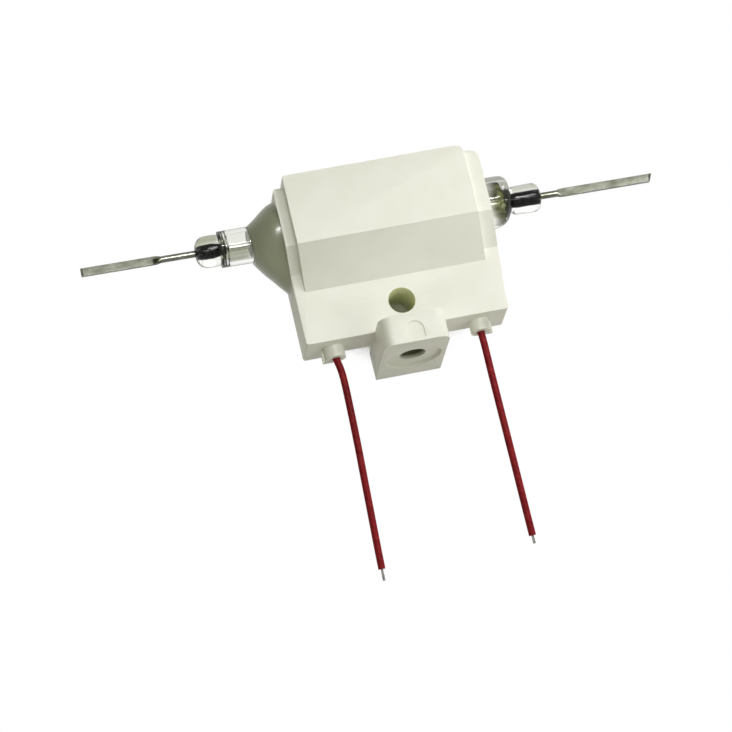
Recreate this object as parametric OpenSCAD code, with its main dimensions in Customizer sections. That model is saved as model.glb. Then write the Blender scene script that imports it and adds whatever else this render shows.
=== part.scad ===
// High-voltage reed relay: a moulded housing with a potted coil, round a long glass reed
// switch whose two leads stick out at the ends. Two hook-up wires feed the coil.
// Millimetres. +X runs along the switch, +Y points to the back of the housing, +Z up.
// The origin is on the axis of the flange's screw hole, at the flange's underside.

/* [Housing body] */
// Length of the body along the switch
body_l = 26.9; // [24:0.1:28.5]
// Distance from the screw hole's axis back to the switch's axis
axis_y = 13.4; // [12.8:0.1:15]
// Height of the switch's axis over the flange's underside
axis_z = 4; // [3.8:0.1:5]
// Distance from the switch's axis up to the top face
body_up = 6.4; // [6.3:0.1:7.5]
// Distance from the switch's axis down to the seating face
body_down = 6.4; // [6.2:0.1:7.5]
// Distance from the switch's axis to the back wall's outer face
body_back = 7.6; // [7.2:0.1:9]
// Distance from the switch's axis to the lower front wall's outer face
body_front = 7.6; // [7.2:0.1:8.2]
// Depth of the flat top face, from the back wall to the front slope
top_depth = 10.85; // [9.5:0.05:12]
// Fall of the front slope below the horizontal, in degrees
slope_deg = 28.2; // [24:0.1:34]
// Thickness of the shell's walls
wall = 1; // [0.8:0.05:1.1]
// Thickness of the body's end walls
end_wall = 1.4; // [1:0.05:2]
// Bevel of the long edge between the top and the back
edge_c = 0.4; // [0.2:0.1:0.8]
// Rounding of the back corner at the bell end
bell_corner_r = 1.4; // [0.3:0.1:2]
// Rounding of the back corner at the cone end
cone_corner_r = 0.4; // [0.2:0.1:2]

/* [End collars] */
// How far the bell end's collar lies inside the body's outline
collar_bell_inset = 0.8; // [0.8:0.05:1.5]
// How far the cone end's collar lies inside the body's outline
collar_cone_inset = 1.35; // [0.8:0.05:1.5]
// Rounding of the collar's back corner at the bell end
collar_bell_r = 1.6; // [0.3:0.1:3]
// Rounding of the collar's back corner at the cone end
collar_cone_r = 0.4; // [0.2:0.1:3]
// Diameter of the hole through each end wall
end_bore_d = 6.6; // [6.3:0.1:8]

// How much further the bell end stands out behind than at the flange's front corner
bell_flare = 0.65; // [0.2:0.05:0.8]

/* [Flange] */
// How far the flange and the collars stand out past each end of the body
collar_out = 1.55; // [1:0.05:2.5]
// Thickness of the flange
flange_t = 7; // [6.4:0.1:7.6]
// Distance from the screw hole's axis to the flange's front edge
flange_front = 4.1; // [3.6:0.1:5]
// Rounding of the flange's front corners
flange_r = 0.4; // [0.2:0.1:1.5]
// Distance from the flange's front edge to the start of the bell end's flare
flare_start = 2; // [1.6:0.1:4]
// Depth over which the bell end flares
flare_depth = 8; // [5:0.5:9]
// Height of the rebate under the flange's front edge, between the wire pegs
rebate_h = 1.2; // [0.6:0.1:1.8]
// Depth of the rebate
rebate_depth = 1.5; // [0.8:0.1:1.8]
// Diameter of the flange's screw hole
hole_d = 3.9; // [3:0.1:4.4]

/* [Mounting lug] */
// Width of the lug
lug_w = 9.7; // [9.5:0.1:12]
// How far the lug stands out from the flange's front edge
lug_out = 4.1; // [3.6:0.1:5.5]
// How far the lug rises over the flange
lug_rise = 5.1; // [4:0.1:6.5]
// Rounding of the lug's two top edges
lug_r = 1.7; // [0.4:0.1:2.5]
// Diameter of the lug's screw hole
lug_hole_d = 3.9; // [3:0.1:4.4]
// Height of the lug's screw hole over the flange's underside
lug_hole_z = 5; // [4.4:0.1:5.6]
// Depth of the lug's screw hole below its round recess
lug_hole_depth = 4.6; // [3:0.1:5]
// Diameter of the round recess in the lug's face
recess_d = 8.4; // [6:0.1:9]
// Depth of the round recess
recess_depth = 0.5; // [0.2:0.05:0.9]
// Width of the shallow arch sunk in the lug's top
arch_w = 2.6; // [2:0.1:3]
// Distance from the lug's face to the centre of the arch
arch_y = 1.8; // [1.5:0.1:2.2]
// Depth of the shallow arch
arch_depth = 0.15; // [0.1:0.05:0.4]

/* [Wire pegs] */
// Diameter of a wire peg
peg_d = 2.9; // [2.4:0.1:3.4]
// How far a wire peg stands out from the flange's front edge
peg_out = 1.8; // [1.2:0.1:3]
// How far a peg's axis lies over the middle of the flange's front edge
peg_up = 0.25; // [0:0.05:0.4]
// How far a peg's outer foot stands out past its round side
foot_out = 0.4; // [0.2:0.1:0.6]
// Height of a peg's outer foot
foot_h = 0.8; // [0.5:0.1:1.2]
// Diameter of a hook-up wire over its insulation
wire_d = 1.05; // [0.8:0.05:1.3]
// Diameter of the wire's tinned conductor
core_d = 0.4; // [0.3:0.05:0.7]
// Gap round the wire in its channel
channel_gap = 0.1; // [0.05:0.05:0.2]
// Length of the bare end of the left wire
left_bare_l = 1.7; // [1:0.1:4]
// Length of the bare end of the right wire
right_bare_l = 1.2; // [1:0.1:4]

/* [Coil] */
// Gap between the glass tube and the bobbin's bore
bobbin_gap = 0.25; // [0.2:0.05:0.3]
// Wall of the bobbin's tube
bobbin_wall = 0.55; // [0.4:0.05:0.7]
// Gap between the bobbin's flanges and the top of the cavity
bobbin_room = 0.1; // [0.05:0.05:0.3]
// Thickness of a bobbin flange
bobbin_flange_t = 0.7; // [0.5:0.05:1.2]
// How far the winding lies below the rims of the bobbin's flanges
winding_in = 0.5; // [0.3:0.05:0.8]
// Thickness of the tape round the winding
tape_t = 0.12; // [0.08:0.02:0.16]
// Width of bare winding left at each end of the tape
tape_margin = 0.9; // [0.8:0.1:2]
// Gap between the bobbin's ends and the housing's end walls
bobbin_end_gap = 0.1; // [0.05:0.05:0.3]
// How far a wire reaches into the cavity
wire_reach = 0.2; // [0.1:0.1:0.3]
// Length of a soldered joint between wire and winding
joint_l = 0.8; // [0.6:0.1:0.9]
// Diameter of a soldered joint
joint_d = 0.9; // [0.8:0.05:1.2]
// Diameter of the winding wire's tail
tail_d = 0.2; // [0.1:0.05:0.3]

/* [Reed switch] */
// Length of the sealed glass tube
glass_l = 51.8; // [48:0.1:56]
// Outer diameter of the glass tube
glass_d = 5.4; // [5.2:0.05:5.6]
// Wall of the glass tube
glass_wall = 0.6; // [0.4:0.05:0.8]
// How far the switch's middle sits towards the cone end
switch_shift = 1.6; // [0:0.05:2]
// Turn of the switch in its potting, in degrees
switch_turn = -0.7; // [-0.8:0.1:0.8]
// Length of the left nose, where the glass is melted onto the reed
left_nose_l = 3.4; // [3:0.1:5]
// Length of the right nose
right_nose_l = 4.5; // [3.4:0.1:5]
// Diameter of the left nose
left_nose_d = 4.7; // [4.4:0.1:5]
// Diameter of the right nose
right_nose_d = 4.4; // [4:0.1:5]
// Diameter of the neck between the left nose and the tube
left_neck_d = 4.3; // [3.4:0.1:4.4]
// Diameter of the neck between the right nose and the tube
right_neck_d = 3.3; // [3:0.1:3.9]
// Length over which the left nose swells from its neck
left_swell = 0.4; // [0.3:0.1:1.5]
// Length over which the right nose swells from its neck
right_swell = 2; // [0.6:0.1:2.4]
// Rounding of a nose's free end
nose_round = 1.1; // [0.6:0.1:1.6]
// Distance from a nose's tip to the start of its dark sealing bead
bead_in = 0.1; // [0.1:0.1:0.8]
// Diameter of the dark sealing bead in each nose
bead_d = 1.5; // [1.4:0.1:2]
// Rounding of a sealing bead's outer end
bead_round = 0.15; // [0.05:0.05:0.2]
// Length over which a sealing bead thins out along the reed
bead_taper = 1.2; // [0.4:0.1:1.6]
// Distance from a neck to the start of the sealed space
seal_in = 0.5; // [0.3:0.1:0.8]
// Rounding of the ends of the sealed space
space_round = 1.2; // [0.6:0.1:1.5]
// Distance from a neck to the root of the blade behind it
root_in = 1.4; // [1:0.1:2]
// Diameter of a reed's round shank
shank_d = 1; // [0.8:0.05:1.2]
// Length from the glass to the tip of the left lead
left_lead_l = 16.8; // [14:0.1:20]
// Length from the glass to the tip of the right lead
right_lead_l = 16.9; // [14:0.1:20]
// Length of the flattened end of the left lead
left_flat_l = 8.7; // [6:0.1:11]
// Length of the flattened end of the right lead
right_flat_l = 13.4; // [10:0.1:13.6]
// Width of a lead's flattened end
flat_w = 1.3; // [1.1:0.05:1.6]
// Thickness of a lead's flattened end
flat_t = 0.6; // [0.4:0.05:0.75]
// Slant of the right lead's cut end
slant = 0.5; // [0:0.1:1]
// Length of a blade that is left round, before the wire is pressed flat
round_l = 3.4; // [2:0.1:5]
// Width of a contact blade
blade_w = 2.4; // [1.6:0.1:2.6]
// Thickness of a contact blade
blade_t = 0.5; // [0.3:0.05:0.6]
// Length over which the two blades overlap
overlap = 2.4; // [1.8:0.1:4]
// Length of a contact plate
plate_l = 2; // [1:0.1:3]
// Width of a contact plate
plate_w = 1.8; // [1:0.1:2.2]
// Thickness of a contact plate
plate_t = 0.15; // [0.1:0.05:0.25]
// Gap between the open contact plates
contact_gap = 0.4; // [0.3:0.05:0.5]
// Gap at a blade's root, where the reed bends
flex_gap = 0.1; // [0.05:0.05:0.2]

/* [Resin] */
// Distance from the housing's end to the tip of the resin cone
cone_l = 4.6; // [3:0.1:6]
// Margin of the collar's end face left clear of the resin cone
cone_edge = 0.2; // [0.1:0.1:0.5]
// How far in front of the switch's axis the resin cone's foot is centred
cone_reach = 6; // [4:0.1:6.4]
// Diameter of the resin cone's waist
cone_waist_d = 8.3; // [7.4:0.1:9]
// Diameter of the resin cone's tip, where it meets the glass
cone_tip_d = 5.75; // [5.7:0.05:6.2]
// Distance from the housing's end to the tip of the clear resin bell
bell_l = 4.15; // [3.2:0.05:4.3]
// Rounding of the bell's free edge
bell_round = 2.4; // [1:0.1:3]
// How far the bell sits behind the switch's axis
bell_shift = 0.05; // [0:0.05:0.3]
// Diameter of the clear resin bell at the housing
bell_d = 7.8; // [7:0.1:8.2]
// How far the potting's face lies below the seating rim
pot_recess = 0.3; // [0.1:0.1:0.8]
// Gap kept between the potting and what it holds
pot_gap = 0.02; // [0.01:0.01:0.05]

/* [Hidden] */
$fn = 64;
neck_lap = 0.2;
slice_t = 0.04;

seat_z = axis_z - body_down;
top_z = axis_z + body_up;
back_y = axis_y + body_back;
lower_front_y = axis_y - body_front;
top_front_y = back_y - top_depth;
flange_l = body_l + 2 * collar_out;
bell_end_x = flange_l / 2 + bell_flare;
flare_y = flare_start - flange_front;
cavity_l = body_l - 2 * end_wall;
lug_front_y = -flange_front - lug_out;
lug_top_z = flange_t + lug_rise;
peg_z = flange_t / 2 + peg_up;
peg_front_y = -flange_front - peg_out;
channel_d = wire_d + 2 * channel_gap;

bobbin_l = cavity_l - 2 * bobbin_end_gap;
bobbin_d = 2 * (body_up - wall - bobbin_room);
bobbin_bore_d = glass_d + 2 * bobbin_gap;
winding_l = bobbin_l - 2 * bobbin_flange_t;
winding_d = bobbin_d - 2 * winding_in;
tube_outer_d = bobbin_bore_d + 2 * bobbin_wall;
tape_d = winding_d + 2 * tape_t;
// The pegs stand over the bare ends of the winding, so that the wires run straight in
peg_x = winding_l / 2 - tape_margin / 2;

// Where the tail reaches the winding, at the height of the wire pegs
winding_front_y = axis_y - sqrt(pow(winding_d / 2, 2) - pow(peg_z - axis_z, 2));
wire_inner_y = lower_front_y + wall + wire_reach;
joint_end_y = wire_inner_y + joint_l;

glass_l2 = glass_l / 2;
glass_r = glass_d / 2;
left_neck = -glass_l2 + left_nose_l;
right_neck = glass_l2 - right_nose_l;
left_root = left_neck + root_in;
right_root = right_neck - root_in;
blade_rise = contact_gap / 2 + plate_t + blade_t / 2;
left_blade_l = overlap / 2 - left_root - flex_gap;
right_blade_l = overlap / 2 + right_root - flex_gap;

// Bends of the two wires, from the peg's face to the end of the insulation: sideways, out
// and down. They leave straight, then droop to the surface that the relay stands on.
left_bend = [[0, 0, 0], [0.1, 0.5, 0.03], [0.28, 1.4, 0.1], [0.4, 2.6, 0.18], [0.44, 4, 0.27],
    [0.44, 6, 0.43], [0.43, 8, 0.65], [0.42, 10, 0.93], [0.41, 12, 1.26], [0.4, 14, 1.64],
    [0.38, 16, 2.06], [0.36, 18, 2.51], [0.35, 20, 2.97], [0.34, 22, 3.44], [0.33, 24, 3.92],
    [0.32, 26, 4.39], [0.31, 28, 4.85], [0.3, 30.6, 5.33]];
right_bend = [[0, 0, 0], [0.03, 0.5, 0.03], [0.07, 1.4, 0.08], [0.09, 2.6, 0.14], [0.1, 4, 0.22],
    [0.12, 6, 0.4], [0.17, 8, 0.62], [0.23, 10, 0.9], [0.3, 12, 1.23], [0.39, 14, 1.61],
    [0.48, 16, 2.03], [0.58, 18, 2.48], [0.68, 20, 2.95], [0.78, 22, 3.43], [0.88, 24, 3.91],
    [0.98, 26, 4.38], [1.08, 28, 4.84], [1.18, 30, 5.28]];
left_route = [for (p = left_bend) [p[0] - peg_x, peg_front_y - p[1], peg_z - p[2]]];
right_route = [for (p = right_bend) [p[0] + peg_x, peg_front_y - p[1], peg_z - p[2]]];

// Outline of the cavity in the Y-Z plane, inset from the body's faces, down to the given height
function cavity_points(inset, bottom) =
    let (yc = top_front_y + inset * tan(slope_deg / 2), zt = top_z - inset,
        yl = lower_front_y + inset, zl = zt - (yc - yl) * tan(slope_deg))
    [[back_y - inset, bottom], [back_y - inset, zt], [yc, zt], [yl, zl], [yl, bottom]];

// Turns a Y-Z outline into a solid of the given length along X
module along_x(length) {
    rotate([90, 0, 90]) linear_extrude(length, center = true) children();
}

// Removes the sliver outside a quarter round at the corner that points up and right
module corner_cut(r) {
    difference() {
        translate([-r, -r]) square(r + 1);
        translate([-r, -r]) circle(r);
        translate([-r - 1, -r - 1]) square([1, r + 3]);
        translate([-r - 1, -r - 1]) square([r + 3, 1]);
    }
}

// Places children in the switch's own frame: X along the glass, its middle at the origin
module switch_frame() {
    translate([-switch_shift, axis_y, axis_z]) rotate([0, 0, switch_turn]) children();
}

// A round rod along X from one place to another
module rod(x0, x1, d) {
    translate([x0, 0, 0]) rotate([0, 90, 0]) cylinder(h = x1 - x0, d = d);
}

// Outline of the body or a collar in the Y-Z plane: its slope runs down to the flange
module shell_outline(inset, bottom) {
    yb = back_y - inset;
    yc = top_front_y + inset * tan(slope_deg / 2);
    yl = lower_front_y + inset;
    zt = top_z - inset;
    foot_y = yc - (zt - flange_t) / tan(slope_deg);
    polygon([[yb, bottom], [yb, zt - edge_c], [yb - edge_c, zt], [yc, zt], [foot_y, flange_t],
        [foot_y, flange_t / 2], [yl, flange_t / 2], [yl, bottom]]);
}

// Rounds a back corner as seen from above, at the bell end (side 0) or the cone end (side 1)
module back_corner(side, x, y, r) {
    translate([0, 0, seat_z - 1]) linear_extrude(body_up + body_down + 2)
        mirror([side, 0]) translate([x, y]) corner_cut(r);
}

module body_block() {
    difference() {
        along_x(body_l) shell_outline(0, seat_z);
        back_corner(0, body_l / 2, back_y, bell_corner_r);
        back_corner(1, body_l / 2, back_y, cone_corner_r);
    }
}

// A collar: a block that starts in the middle of the body and stands out past its end
module collar(side, end_x, inset, corner_r) {
    difference() {
        translate([(0.5 - side) * end_x, 0, 0])
            along_x(end_x) shell_outline(inset, seat_z + inset);
        back_corner(side, end_x, back_y - inset, corner_r);
    }
}

module flange_plate() {
    difference() {
        linear_extrude(flange_t) difference() {
            polygon([[-flange_l / 2, -flange_front], [flange_l / 2, -flange_front],
                [flange_l / 2, flare_y], [bell_end_x, flare_y + flare_depth],
                [bell_end_x, axis_y], [-flange_l / 2, axis_y]]);
            for (side = [0, 1]) mirror([side, 0])
                translate([flange_l / 2, -flange_front]) mirror([0, 1]) corner_cut(flange_r);
        }
        translate([-peg_x, -flange_front - 1, -1])
            cube([2 * peg_x, rebate_depth + 1, rebate_h + 1]);
    }
}

// The lug in front of the flange: an arched block down to the seating face
module lug() {
    translate([0, lug_front_y, 0]) rotate([-90, 0, 0]) mirror([0, 1])
        linear_extrude(lug_out + 0.2) difference() {
            translate([-lug_w / 2, seat_z]) square([lug_w, lug_top_z - seat_z]);
            for (side = [0, 1]) mirror([side, 0])
                translate([lug_w / 2, lug_top_z]) corner_cut(lug_r);
        }
}

// A wire peg: round, with a square foot on its outer side
module peg(side) {
    translate([(1 - 2 * side) * peg_x, peg_front_y, peg_z]) rotate([-90, 0, 0]) mirror([0, 1])
        linear_extrude(peg_out + 1) union() {
            circle(d = peg_d);
            mirror([side, 0]) translate([0, -peg_d / 2]) square([peg_d / 2 + foot_out, foot_h]);
        }
}

module housing() {
    color([0.93, 0.92, 0.86]) difference() {
        union() {
            body_block();
            collar(0, bell_end_x, collar_bell_inset, collar_bell_r);
            collar(1, flange_l / 2, collar_cone_inset, collar_cone_r);
            flange_plate();
            lug();
            for (side = [0, 1]) peg(side);
        }
        // Cavity for the coil, open at the seating face
        along_x(cavity_l) polygon(cavity_points(wall, seat_z - 1));
        // Holes through the two end walls
        translate([0, axis_y, axis_z]) rod(-flange_l / 2 - 1, bell_end_x + 1, end_bore_d);
        // Screw hole of the flange
        translate([0, 0, -1]) cylinder(h = flange_t + 2, d = hole_d);
        // Screw hole of the lug, in its round recess
        translate([0, lug_front_y + recess_depth + lug_hole_depth, lug_hole_z])
            rotate([90, 0, 0]) cylinder(h = lug_hole_depth + recess_depth + 1, d = lug_hole_d);
        translate([0, lug_front_y + recess_depth, lug_hole_z])
            rotate([90, 0, 0]) cylinder(h = recess_depth + 1, d = recess_d);
        // Shallow arch in the lug's top
        translate([0, 0, lug_top_z - arch_depth]) linear_extrude(1) union() {
            translate([0, lug_front_y + arch_y]) circle(d = arch_w);
            translate([-arch_w / 2, lug_front_y + 0.5]) square([arch_w, arch_y - 0.5]);
        }
        // Channels that lead the wires from the pegs to the cavity
        for (x = [-peg_x, peg_x]) translate([x, peg_front_y - 1, peg_z])
            rotate([-90, 0, 0]) cylinder(h = wire_inner_y - peg_front_y + 1, d = channel_d);
    }
}

// Everything that lies in the potting, grown by the gap kept round it
module potted_shapes() {
    g = 2 * pot_gap;
    translate([0, axis_y, axis_z]) {
        rod(-cavity_l / 2 - 1, cavity_l / 2 + 1, bobbin_bore_d);
        rod(-winding_l / 2 - 1, winding_l / 2 + 1, tape_d + g);
        for (side = [-1, 1]) translate([side * (bobbin_l - bobbin_flange_t) / 2, 0, 0])
            rod(-bobbin_flange_t / 2 - pot_gap, bobbin_flange_t / 2 + pot_gap, bobbin_d + g);
    }
    for (x = [-peg_x, peg_x]) translate([x, 0, peg_z]) rotate([-90, 0, 0]) {
        cylinder(h = wire_inner_y + pot_gap, d = wire_d + g);
        cylinder(h = joint_end_y + pot_gap, d = joint_d + g);
        cylinder(h = winding_front_y, d = tail_d + g);
    }
}

module potting() {
    color([0.2, 0.2, 0.17]) difference() {
        along_x(cavity_l - 2 * pot_gap)
            polygon(cavity_points(wall + pot_gap, seat_z + pot_recess));
        potted_shapes();
    }
}

// A thin slice of the resin cone: a large round behind, a small one in front of it
module cone_slice(out, shift, r, reach, r_front) {
    translate([-flange_l / 2 - out - slice_t, axis_y + shift, axis_z])
        rotate([0, 90, 0]) cylinder(h = slice_t, r = r, $fn = 32);
    translate([-flange_l / 2 - out - slice_t, axis_y - reach, axis_z - r / 10])
        rotate([0, 90, 0]) cylinder(h = slice_t, r = r_front, $fn = 32);
}

// Resin cone that closes the left end: it wets the collar and the flange's end, then
// narrows to the glass tube
module resin_cone() {
    base_r = body_up - collar_cone_inset - cone_edge;
    color([0.45, 0.46, 0.37]) difference() {
        union() {
            hull() {
                cone_slice(0, 0.8, base_r, cone_reach, base_r * 0.6);
                cone_slice(cone_l / 4, 0.5, base_r - 0.1, cone_reach * 0.7, base_r * 0.6);
            }
            hull() {
                cone_slice(cone_l / 4, 0.5, base_r - 0.1, cone_reach * 0.7, base_r * 0.6);
                cone_slice(cone_l * 0.7, -0.1, cone_waist_d / 2, 0.1, cone_waist_d / 2);
                cone_slice(cone_l, 0, cone_tip_d / 2, 0, cone_tip_d / 2);
            }
            translate([0, axis_y, axis_z])
                rod(-flange_l / 2, -cavity_l / 2, end_bore_d - 2 * pot_gap);
        }
        switch_frame() rod(-glass_l, 0, glass_d + 2 * pot_gap);
    }
}

// Clear resin bell that closes the right end
module resin_bell() {
    color([0.85, 0.86, 0.8, 0.5]) difference() {
        union() {
            translate([bell_end_x, axis_y + bell_shift, axis_z]) turned()
                bar_outline(0, bell_l, bell_d / 2, 0, bell_round);
            translate([0, axis_y, axis_z])
                rod(cavity_l / 2, bell_end_x + pot_gap, end_bore_d - 2 * pot_gap);
        }
        switch_frame() rod(0, glass_l, glass_d + 2 * pot_gap);
    }
}

module bobbin() {
    color([0.15, 0.15, 0.16]) translate([0, axis_y, axis_z]) difference() {
        union() {
            rod(-bobbin_l / 2, bobbin_l / 2, tube_outer_d);
            rod(-bobbin_l / 2, -winding_l / 2, bobbin_d);
            rod(winding_l / 2, bobbin_l / 2, bobbin_d);
        }
        rod(-bobbin_l, bobbin_l, bobbin_bore_d);
    }
}

module winding() {
    color([0.72, 0.4, 0.22]) translate([0, axis_y, axis_z]) difference() {
        rod(-winding_l / 2, winding_l / 2, winding_d);
        rod(-bobbin_l, bobbin_l, tube_outer_d);
    }
}

module winding_tape() {
    length = winding_l - 2 * tape_margin;
    color([0.85, 0.75, 0.35]) translate([0, axis_y, axis_z]) difference() {
        rod(-length / 2, length / 2, tape_d);
        rod(-bobbin_l, bobbin_l, winding_d);
    }
}

// A length along Y at the height of the wire pegs
module peg_rod(x, y0, y1, d) {
    translate([x, y0, peg_z]) rotate([-90, 0, 0]) cylinder(h = y1 - y0, d = d);
}

module coil_joint(x) {
    color([0.7, 0.7, 0.72]) peg_rod(x, wire_inner_y, joint_end_y, joint_d);
}

module coil_tail(x) {
    color([0.72, 0.4, 0.22]) difference() {
        peg_rod(x, joint_end_y, winding_front_y + 1, tail_d);
        translate([0, axis_y, axis_z]) rod(-bobbin_l, bobbin_l, winding_d);
    }
}

module wire_inner(x) {
    color([0.62, 0.1, 0.12]) peg_rod(x, peg_front_y, wire_inner_y, wire_d);
}

// Unit vector along a route at one of its points
function heading(route, i) =
    let (a = route[max(i - 1, 0)], b = route[min(i + 1, len(route) - 1)], d = b - a)
    i == 0 ? [0, -1, 0] : d / norm(d);

// Ring of eight points square to the route
function ring(route, i, r) =
    let (t = heading(route, i), u = cross([0, 0, 1], t), un = u / norm(u), v = cross(t, un))
    [for (k = [0 : 7]) route[i] + r * (cos(k * 45 + 22.5) * un + sin(k * 45 + 22.5) * v)];

// A wire's insulation swept along its route
module wire_sweep(route) {
    n = len(route);
    points = [for (i = [0 : n - 1]) each ring(route, i, wire_d / 2)];
    sides = [for (i = [0 : n - 2], k = [0 : 7])
        [8 * i + k, 8 * i + (k + 1) % 8, 8 * (i + 1) + (k + 1) % 8, 8 * (i + 1) + k]];
    caps = [[for (k = [0 : 7]) 7 - k], [for (k = [0 : 7]) 8 * (n - 1) + k]];
    color([0.62, 0.1, 0.12]) polyhedron(points, concat(sides, caps), convexity = 4);
}

// The bare conductor beyond the insulation, in line with the wire's end
module wire_end(route, length) {
    n = len(route);
    t = heading(route, n - 1);
    color([0.75, 0.75, 0.74]) translate(route[n - 1])
        rotate([0, 0, atan2(t[1], t[0])]) rotate([0, 90 - asin(t[2]), 0])
            cylinder(h = length, d = core_d, $fn = 32);
}

// Turns a half outline, drawn along X over the axis, into a round piece along X
module turned() {
    rotate([0, 90, 0]) rotate_extrude() mirror([1, 0]) rotate(90) children();
}

// Half outline of a round piece: a bar from the axis up to y1, its two corners rounded
module bar_outline(x0, x1, y1, r0, r1) {
    difference() {
        translate([x0, 0]) square([x1 - x0, y1]);
        if (r0 > 0) translate([x0, y1]) mirror([1, 0]) corner_cut(r0);
        if (r1 > 0) translate([x1, y1]) corner_cut(r1);
    }
}

// Half outline of a nose: it swells from its neck at x = 0 and ends in a rounded tip
module nose_outline(length, d, neck_d, swell) {
    difference() {
        polygon([[-neck_lap, 0], [-neck_lap, neck_d / 2], [0, neck_d / 2], [swell, d / 2],
            [length, d / 2], [length, 0]]);
        translate([length, d / 2]) corner_cut(nose_round);
    }
}

// The glass: a tube drawn down to a neck at each end, where the hot glass sank onto the
// reed, and a solid nose behind each neck
module glass_tube() {
    color([0.8, 0.85, 0.82, 0.4]) switch_frame() difference() {
        union() {
            turned() bar_outline(left_neck, right_neck, glass_r,
                glass_r - left_neck_d / 2 + neck_lap / 2, glass_r - right_neck_d / 2 + neck_lap / 2);
            translate([left_neck, 0, 0]) rotate(180) turned()
                nose_outline(left_nose_l, left_nose_d, left_neck_d, left_swell);
            translate([right_neck, 0, 0]) turned()
                nose_outline(right_nose_l, right_nose_d, right_neck_d, right_swell);
        }
        // Bore for the beads, and the sealed space between them
        rod(-glass_l, glass_l, bead_d);
        turned() bar_outline(left_neck + seal_in, right_neck - seal_in, glass_r - glass_wall,
            space_round, space_round);
    }
}

// The sealing bead in the right nose: dark glass fused on the reed, thinner inwards
module seal(neck) {
    x0 = neck - seal_in;
    color([0.05, 0.05, 0.05]) turned() difference() {
        bar_outline(x0, glass_l2 - bead_in, bead_d / 2, 0, bead_round);
        polygon([[x0, shank_d / 2 + 0.1], [x0 + bead_taper, bead_d / 2], [x0 + bead_taper, bead_d],
            [x0 - 1, bead_d], [x0 - 1, shank_d / 2 + 0.1]]);
        translate([-glass_l, -1]) square([2 * glass_l, shank_d / 2 + 1]);
    }
}

// A lead from its flattened tip to the root of its blade, its glass end at the origin
module lead(length, flat_l, root_l, cut) {
    shoulder = (flat_w - shank_d) * 2;
    rod(flat_l - length - shoulder, root_l, shank_d);
    translate([-length, 0, -flat_t / 2]) linear_extrude(flat_t)
        polygon([[-cut / 2, -flat_w / 2], [flat_l - shoulder, -flat_w / 2],
            [flat_l, -shank_d / 2], [flat_l, shank_d / 2],
            [flat_l - shoulder, flat_w / 2], [cut / 2, flat_w / 2]]);
}

module left_lead() {
    color([0.66, 0.66, 0.62]) switch_frame() translate([-glass_l2, 0, 0])
        lead(left_lead_l, left_flat_l, left_root + glass_l2, 0);
}

module right_lead() {
    color([0.66, 0.66, 0.62]) switch_frame() translate([glass_l2, 0, 0]) rotate(180)
        lead(right_lead_l, right_flat_l, glass_l2 - right_root, slant);
}

// A contact blade that points along +X from its root at the origin: round wire, then pressed
// flat and set up by a joggle so that the two blades overlap with a gap
module blade(length) {
    t2 = blade_t / 2;
    flat_x = round_l - 0.4;
    rod(0, round_l, shank_d);
    intersection() {
        rotate([90, 0, 0]) linear_extrude(blade_w + 1, center = true)
            polygon([[flat_x, -t2], [round_l + 0.6, -t2], [round_l + 2.6, blade_rise - t2],
                [length, blade_rise - t2], [length, blade_rise + t2],
                [round_l + 2.4, blade_rise + t2], [round_l + 0.4, t2], [flat_x, t2]]);
        translate([0, 0, -2]) linear_extrude(4)
            polygon([[flat_x, -shank_d / 4], [round_l + 1.6, -blade_w / 2],
                [length - 0.6, -blade_w / 2], [length, -blade_w / 2 + 0.6],
                [length, blade_w / 2 - 0.6], [length - 0.6, blade_w / 2],
                [round_l + 1.6, blade_w / 2], [flat_x, shank_d / 4]]);
    }
}

module contact_plate(length) {
    translate([length - overlap / 2, 0, blade_rise - blade_t / 2 - plate_t / 2])
        cube([plate_l, plate_w, plate_t], center = true);
}

module on_left_blade() {
    switch_frame() translate([left_root + flex_gap, 0, 0]) children();
}

module on_right_blade() {
    switch_frame() translate([right_root - flex_gap, 0, 0]) rotate([0, 180, 0]) children();
}

module left_blade() {
    color([0.6, 0.6, 0.58]) on_left_blade() blade(left_blade_l);
}

module right_blade() {
    color([0.6, 0.6, 0.58]) on_right_blade() blade(right_blade_l);
}

module left_contact() {
    color([0.8, 0.8, 0.8]) on_left_blade() contact_plate(left_blade_l);
}

module right_contact() {
    color([0.8, 0.8, 0.8]) on_right_blade() contact_plate(right_blade_l);
}

housing();
potting();
resin_cone();
resin_bell();
bobbin();
winding();
winding_tape();
coil_joint(-peg_x);  // left_joint
coil_joint(peg_x);  // right_joint
coil_tail(-peg_x);  // left_coil_tail
coil_tail(peg_x);  // right_coil_tail
wire_inner(-peg_x);  // left_wire_inner
wire_inner(peg_x);  // right_wire_inner
wire_sweep(left_route);  // left_wire
wire_sweep(right_route);  // right_wire
wire_end(left_route, left_bare_l);  // left_wire_end
wire_end(right_route, right_bare_l);  // right_wire_end
glass_tube();
switch_frame() rotate(180) seal(-left_neck);  // left_seal
switch_frame() seal(right_neck);  // right_seal
left_lead();
right_lead();
left_blade();
right_blade();
left_contact();
right_contact();
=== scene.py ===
import math

import bmesh
import bpy
from mathutils import Matrix, Vector


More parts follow.
